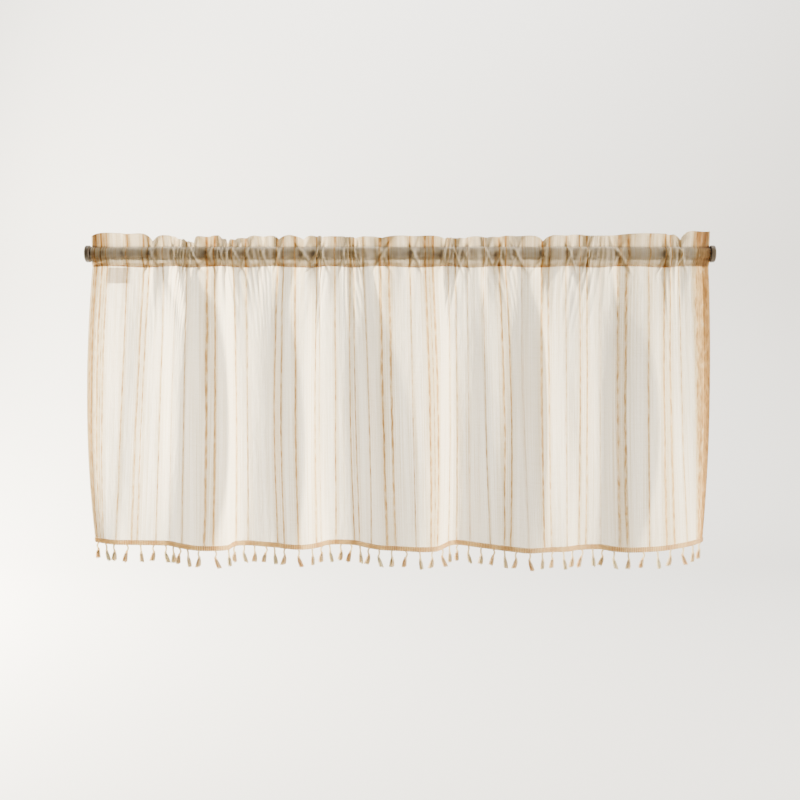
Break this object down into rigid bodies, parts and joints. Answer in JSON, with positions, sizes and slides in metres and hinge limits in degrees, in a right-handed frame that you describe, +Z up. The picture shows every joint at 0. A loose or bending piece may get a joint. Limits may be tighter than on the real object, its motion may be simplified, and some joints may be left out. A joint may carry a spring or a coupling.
{
  "type": "cafe curtain on a rod",
  "caption": "Short sheer striped curtain gathered on a rod, with a frilled heading, a braid along the hem and small tassels.",
  "frame": {"origin": "centre of the left end cap's outer flat face, on the rod's axis", "axes": "+X along the rod to the right end, +Z up, -Y toward the room that the curtain faces"},
  "size_m": [1.1482, 0.0872, 0.6129],
  "materials": {
    "rod_metal": "satin champagne lacquer on steel tube",
    "cap_plastic": "matt dark brown",
    "sheer_cloth": "open off-white weave with slubby tan warp stripes, half see-through",
    "braid_yarn": "tan cotton braid and yarn",
    "label_tape": "plain white tape, blank"
  },
  "bodies": {
    "root": {"rod": "rod_metal", "end_cap_left": "cap_plastic", "end_cap_right": "cap_plastic", "curtain_panel": "sheer_cloth", "tassel_trim": "braid_yarn", "care_label": "label_tape"}
  },
  "joints": []
}
